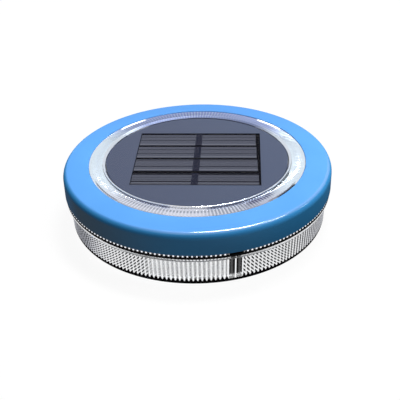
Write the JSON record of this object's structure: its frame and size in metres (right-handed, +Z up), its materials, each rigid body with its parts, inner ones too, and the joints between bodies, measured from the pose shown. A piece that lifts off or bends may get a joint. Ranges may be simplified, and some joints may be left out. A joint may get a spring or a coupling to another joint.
{
  "type": "floating pool light",
  "caption": "Round floating solar pool light: blue float ring, clear cover with a solar panel, clear lens bowl, sealed battery bay and a push button underneath.",
  "frame": {"origin": "centre of the underside, in the plane that the foot ring stands on", "axes": "+Z up through the solar panel, X along the solar strips, +Y towards the power button's side"},
  "size_m": [0.152, 0.152, 0.0343],
  "materials": {
    "blue_plastic": "glossy sky blue moulding",
    "clear_plastic": "clear moulded polycarbonate",
    "clear_resin": "clear cast resin",
    "clear_adhesive": "soft clear adhesive",
    "panel_board": "slate laminate",
    "silicon": "dark cell with fine fingers",
    "ribbon_metal": "dark coated ribbon",
    "red_wire": "red insulation",
    "black_wire": "black insulation",
    "black_rubber": "matte black",
    "grey_rubber": "matte grey",
    "dark_plastic": "fine textured charcoal",
    "button_plastic": "blue, lightly glossy",
    "stainless_steel": "stainless steel",
    "ballast_steel": "zinc plated",
    "cell_can": "nickel plated can",
    "sleeve_film": "green shrink film",
    "plated_spring": "nickel plated wire",
    "plated_brass": "nickel washed brass",
    "white_plastic": "white moulding",
    "mirror_plastic": "vacuum metallised moulding",
    "board_laminate": "white solder mask",
    "lamp_resin": "clear lamp epoxy",
    "tinned_metal": "tinned",
    "chip_plastic": "moulded black",
    "ferrite": "dark ferrite",
    "capacitor_can": "drawn can",
    "ceramic_chip": "black glazed chip"
  },
  "bodies": {
    "housing": {"float_ring": "blue_plastic", "top_cover": "clear_plastic", "panel_adhesive": "clear_adhesive", "panel_backing": "panel_board", "solar_strip_1": "silicon", "solar_strip_2": "silicon", "solar_strip_3": "silicon", "solar_strip_4": "silicon", "strip_ribbons": "ribbon_metal", "panel_resin": "clear_resin", "panel_wire_red": "red_wire", "panel_wire_black": "black_wire", "lens_bowl": "clear_plastic", "main_gasket": "black_rubber", "base_seal": "black_rubber", "foot_ring": "black_rubber", "lock_clips": "dark_plastic", "base_plate": "dark_plastic", "battery_door": "dark_plastic", "door_screws": "stainless_steel", "door_gasket": "black_rubber", "battery_cell": "cell_can", "battery_sleeve": "sleeve_film", "battery_spring": "plated_spring", "spring_contact": "plated_brass", "nub_contact": "plated_brass", "battery_wire_black": "black_wire", "battery_wire_red": "red_wire", "ballast_ring": "ballast_steel", "housing_screws": "stainless_steel", "screw_plugs": "grey_rubber", "reflector": "mirror_plastic", "circuit_board": "board_laminate", "board_screws": "stainless_steel", "led_lamps": "lamp_resin", "led_leads": "tinned_metal", "driver_chip": "chip_plastic", "storage_inductor": "ferrite", "smoothing_capacitor": "capacitor_can", "sense_resistors": "ceramic_chip", "button_seal": "grey_rubber", "switch_holder": "dark_plastic", "holder_screws": "stainless_steel", "switch_case": "chip_plastic", "switch_spring": "plated_spring", "switch_pins": "tinned_metal", "switch_wires": "black_wire"},
    "button": {"power_button": "button_plastic", "switch_plunger": "white_plastic"}
  },
  "joints": [
    {"name": "button_press", "type": "slide", "parent": "housing", "child": "button", "axis": [0, 0, 1], "range_m": [0, 0.0015], "stiffness_N_per_m": 1200, "springref_m": -0.0005, "deforming": ["switch_spring"]}
  ]
}
